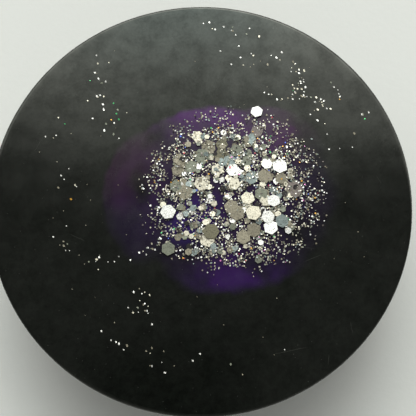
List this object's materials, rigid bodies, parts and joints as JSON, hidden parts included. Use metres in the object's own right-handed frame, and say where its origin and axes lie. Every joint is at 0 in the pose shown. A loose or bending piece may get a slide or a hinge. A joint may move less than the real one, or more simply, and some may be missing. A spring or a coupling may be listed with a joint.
{
  "type": "pin badge",
  "caption": "Round satin black resin pin badge with a violet glitter pool in its face, on needle posts that take butterfly clutches.",
  "frame": {"origin": "centre of the resin disc's flat back face, midway between the two posts", "axes": "+Z out of the decorated face, +Y up and +X to the right as the badge is worn and seen from the front"},
  "size_m": [0.05, 0.05, 0.0132],
  "materials": {
    "black_resin": "satin",
    "violet_resin": "satin",
    "epoxy": "gloss",
    "plated_pad": "satin",
    "post_steel": "polished",
    "plated_clutch": "gloss",
    "plated_wing": "gloss",
    "spring_wire": "satin"
  },
  "bodies": {
    "badge": {"resin_disc": "black_resin", "violet_pour": "violet_resin", "left_post_epoxy": "epoxy", "left_post_pad": "plated_pad", "left_post": "post_steel", "right_post_epoxy": "epoxy", "right_post_pad": "plated_pad", "right_post": "post_steel"},
    "left_clutch": {"left_clutch_base": "plated_clutch"},
    "left_clutch_shell": {"left_clutch_cap": "plated_clutch", "left_clutch_spring": "spring_wire"},
    "left_upper_jaw": {"left_upper_wing": "plated_wing"},
    "left_lower_jaw": {"left_lower_wing": "plated_wing"},
    "right_clutch": {"right_clutch_base": "plated_clutch"},
    "right_clutch_shell": {"right_clutch_cap": "plated_clutch", "right_clutch_spring": "spring_wire"},
    "right_upper_jaw": {"right_upper_wing": "plated_wing"},
    "right_lower_jaw": {"right_lower_wing": "plated_wing"}
  },
  "joints": [
    {"name": "left_clutch_slide", "type": "slide", "parent": "badge", "child": "left_clutch", "axis": [0, 0, -1], "range_m": [0, 0.005]},
    {"name": "left_clutch_turn", "type": "hinge", "parent": "left_clutch", "child": "left_clutch_shell", "pos_m": [-0.012, 0, -0.00317], "axis": [0, 0, -1], "continuous": true},
    {"name": "left_upper_pinch", "type": "hinge", "parent": "left_clutch_shell", "child": "left_upper_jaw", "pos_m": [-0.012, 0.00278, -0.00662], "axis": [-1, 0, 0], "range_deg": [0, 10], "stiffness_Nm_per_rad": 0.0002, "springref_deg": -20.05},
    {"name": "left_lower_pinch", "type": "hinge", "parent": "left_clutch_shell", "child": "left_lower_jaw", "pos_m": [-0.012, -0.00278, -0.00662], "axis": [1, 0, 0], "range_deg": [0, 10], "stiffness_Nm_per_rad": 0.0002, "springref_deg": -20.05},
    {"name": "right_clutch_slide", "type": "slide", "parent": "badge", "child": "right_clutch", "axis": [0, 0, -1], "range_m": [0, 0.005]},
    {"name": "right_clutch_turn", "type": "hinge", "parent": "right_clutch", "child": "right_clutch_shell", "pos_m": [0.012, 0, -0.00317], "axis": [0, 0, -1], "continuous": true},
    {"name": "right_upper_pinch", "type": "hinge", "parent": "right_clutch_shell", "child": "right_upper_jaw", "pos_m": [0.012, 0.00278, -0.00662], "axis": [-1, 0, 0], "range_deg": [0, 10], "stiffness_Nm_per_rad": 0.0002, "springref_deg": -20.05},
    {"name": "right_lower_pinch", "type": "hinge", "parent": "right_clutch_shell", "child": "right_lower_jaw", "pos_m": [0.012, -0.00278, -0.00662], "axis": [1, 0, 0], "range_deg": [0, 10], "stiffness_Nm_per_rad": 0.0002, "springref_deg": -20.05}
  ],
  "couplings": [
    {"joint": "left_lower_pinch", "follows": "left_upper_pinch", "ratio": 1},
    {"joint": "right_lower_pinch", "follows": "right_upper_pinch", "ratio": 1}
  ]
}
